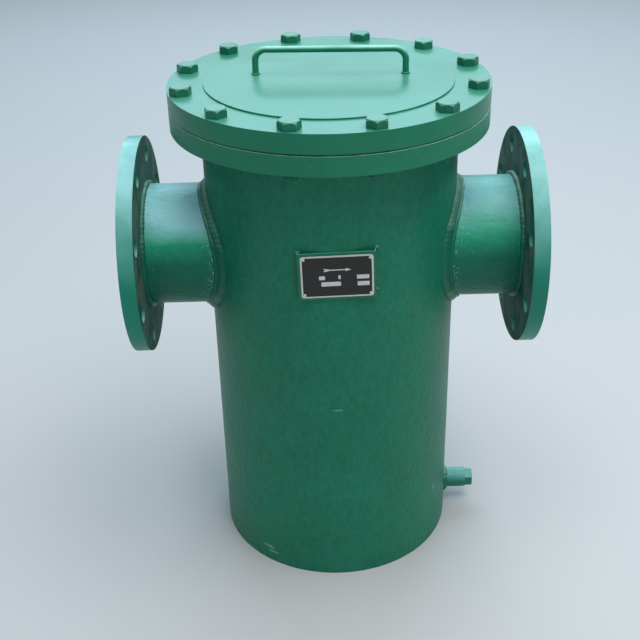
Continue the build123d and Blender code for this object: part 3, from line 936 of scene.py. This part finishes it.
def flat_pad(left, right, low, high, thickness, corner):
    """A thin pad with rounded corners, standing off y = 0 towards the front."""
    bpy.ops.object.select_all(action="DESELECT")
    bpy.ops.mesh.primitive_plane_add(size=1, rotation=(math.pi / 2, 0, 0))
    pad = bpy.context.object
    pad.scale = (right - left, high - low, 1)
    pad.location = ((left + right) / 2, 0, (low + high) / 2)
    bpy.ops.object.transform_apply(location=True, rotation=True, scale=True)
    edit_alone(pad)
    bpy.ops.mesh.select_all(action="SELECT")
    bpy.ops.mesh.bevel(offset=corner, segments=5, affect="VERTICES")
    bpy.ops.mesh.extrude_region_move(TRANSFORM_OT_translate={"value": (0, -thickness, 0)})
    bpy.ops.mesh.select_all(action="SELECT")
    bpy.ops.mesh.normals_make_consistent(inside=False)
    bpy.ops.object.mode_set(mode="OBJECT")
    return pad


field = flat_pad(-0.0413, 0.0413, -0.0255, 0.0255, 0.0002, 0.0030)
on_nameplate(field, "nameplate_field", black_print)
for number, (left, right, middle_z, tall) in enumerate((
    (-0.0218, -0.0146, -0.0012, 0.0050),
    (0.0013, 0.0041, -0.0008, 0.0050),
    (0.0234, 0.0381, -0.0012, 0.0052),
    (-0.0193, 0.0041, -0.0095, 0.0056),
    (0.0240, 0.0383, -0.0102, 0.0056),
)):
    blank = flat_pad(left, right, middle_z - tall / 2, middle_z + tall / 2, 0.0003, 0.0004)
    on_nameplate(blank, f"nameplate_blank_{number + 1}", pale_print)

# Flow arrow, one flat print: a shaft with a pointed head at the right and a notched tail at the left
arrow = flat_pad(-0.0090, 0.0115, 0.0083, 0.0097, 0.0003, 0.0001)
arrow_points = []
for point_x, point_long, point_tall in ((0.0125, 1.0, 0.55), (-0.0125, 1.5, 0.62), (-0.0175, 1.0, 0.42)):
    bpy.ops.object.select_all(action="DESELECT")
    bpy.ops.mesh.primitive_cylinder_add(
        vertices=3, radius=0.0045, depth=0.00026, location=(0, 0, 0), rotation=(math.pi / 2, math.pi / 2, 0))
    arrow_point = bpy.context.object
    bpy.ops.object.transform_apply(location=True, rotation=True, scale=True)
    arrow_point.scale = (point_long, 1, point_tall)
    arrow_point.location = (point_x, -0.00013, 0.009)
    bpy.ops.object.transform_apply(location=True, rotation=True, scale=True)
    arrow_points.append(arrow_point)
arrow_head, feather, notch = arrow_points
bpy.ops.object.select_all(action="DESELECT")
notch.scale.y = 3
bpy.context.view_layer.objects.active = feather
feather.select_set(True)
split = feather.modifiers.new("notch", "BOOLEAN")
split.object = notch
split.operation = "DIFFERENCE"
split.solver = "EXACT"
bpy.ops.object.modifier_apply(modifier=split.name)
bpy.data.objects.remove(notch)
arrow_head.select_set(True)
arrow.select_set(True)
bpy.context.view_layer.objects.active = arrow
bpy.ops.object.join()
on_nameplate(arrow, "nameplate_arrow", pale_print)

rivet_metal = metal("rivet_aluminium", (0.78, 0.78, 0.76), 0.3, (400, 400, 400))
bpy.ops.object.select_all(action="DESELECT")
bpy.ops.mesh.primitive_uv_sphere_add(segments=24, ring_count=12, radius=0.0021)
first_rivet = bpy.context.object
first_rivet.name = "nameplate_rivet_1"
edit_alone(first_rivet)
bpy.ops.mesh.select_all(action="SELECT")
bpy.ops.mesh.bisect(plane_co=(0, 0, 0), plane_no=(0, 1, 0), use_fill=True, clear_outer=True)
bpy.ops.object.mode_set(mode="OBJECT")
first_rivet.scale.y = 0.55
bpy.ops.object.transform_apply(location=True, rotation=True, scale=True)
bpy.ops.object.shade_smooth_by_angle(angle=math.radians(50))
rivets = [first_rivet] + [own_copy(first_rivet, f"nameplate_rivet_{number}") for number in (2, 3, 4)]
rivet_across = 0.0397
rivet_up = 0.0237
for number, (across, up) in enumerate(((-1, 1), (1, 1), (-1, -1), (1, -1))):
    rivet = rivets[number]
    rivet.location = (across * rivet_across, 0, up * rivet_up)
    bpy.ops.object.select_all(action="DESELECT")
    rivet.select_set(True)
    bpy.context.view_layer.objects.active = rivet
    bpy.ops.object.transform_apply(location=True, rotation=True, scale=True)
    on_nameplate(rivet, f"nameplate_rivet_{number + 1}", rivet_metal)

# Partition: slanted plate inside the shell that carries the basket, with grey-green primer only.
partition = smooth_copy("partition", "slanted_partition")
partition.data.materials.append(enamel("inside_primer", Colour=primer_colour, Streaks=0.3, Dust=0.1, Gloss=0.2)[0])
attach(partition, "housing")

# Basket: stainless steel sheet, rolled and welded, with a fine woven screen inside the wall.
stainless = metal("stainless_sheet", (0.60, 0.60, 0.59), 0.32, (50, 50, 900))
for node in ("basket_rim", "basket_wall", "basket_floor", "basket_bail"):
    basket_piece = smooth_copy(node, node.replace("basket", "strainer_basket"))
    basket_piece.data.materials.append(stainless)
    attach(basket_piece, "basket")

# Screen: stainless wire cloth, about one wire a millimetre, rolled to a sleeve.
cloth = bpy.data.materials.new("wire_cloth")
cloth.use_nodes = True
tree = cloth.node_tree
surface = tree.nodes["Principled BSDF"]
surface.inputs["Metallic"].default_value = 1.0
surface.inputs["Roughness"].default_value = 0.4
wire_place = add_node(tree, "ShaderNodeTexCoord")
wire_parts = add_node(tree, "ShaderNodeSeparateXYZ")
wire_turn = add_node(tree, "ShaderNodeMath", operation="ARCTAN2")
wires_round = 680
wires_per_metre = 1000
across_wires = add_node(tree, "ShaderNodeMath", operation="MULTIPLY", _1=wires_round / 2)
up_wires = add_node(tree, "ShaderNodeMath", operation="MULTIPLY", _1=math.pi * wires_per_metre)
across_wave = add_node(tree, "ShaderNodeMath", operation="SINE")
up_wave = add_node(tree, "ShaderNodeMath", operation="SINE")
across_wire = add_node(tree, "ShaderNodeMath", operation="ABSOLUTE")
up_wire = add_node(tree, "ShaderNodeMath", operation="ABSOLUTE")
hole = add_node(tree, "ShaderNodeMath", operation="MINIMUM")
hole_mask = add_node(tree, "ShaderNodeMapRange", From_Min=0.45, From_Max=0.7)
# The gaps between the wires are painted near black: painted shade standing for the dark seen through them.
wire_and_gap_shade = add_node(tree, "ShaderNodeMix", data_type="RGBA")
wire_and_gap_shade.inputs[6].default_value = (0.50, 0.50, 0.49, 1)
wire_and_gap_shade.inputs[7].default_value = (0.03, 0.03, 0.03, 1)
wire_relief = add_node(tree, "ShaderNodeBump", Strength=0.8, Distance=0.0003, invert=True)
join_nodes(
    tree,
    ((wire_place, "Object"), (wire_parts, 0)),
    ((wire_parts, "Y"), (wire_turn, 0)),
    ((wire_parts, "X"), (wire_turn, 1)),
    ((wire_turn, 0), (across_wires, 0)),
    ((wire_parts, "Z"), (up_wires, 0)),
    ((across_wires, 0), (across_wave, 0)),
    ((up_wires, 0), (up_wave, 0)),
    ((across_wave, 0), (across_wire, 0)),
    ((up_wave, 0), (up_wire, 0)),
    ((across_wire, 0), (hole, 0)),
    ((up_wire, 0), (hole, 1)),
    ((hole, 0), (hole_mask, "Value")),
    ((hole_mask, 0), (wire_and_gap_shade, "Factor")),
    ((wire_and_gap_shade, 2), (surface, "Base Color")),
    ((hole_mask, 0), (wire_relief, "Height")),
    ((wire_relief, "Normal"), (surface, "Normal")),
)
screen = smooth_copy("basket_screen", "strainer_basket_screen")
screen.data.materials.append(cloth)
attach(screen, "basket")
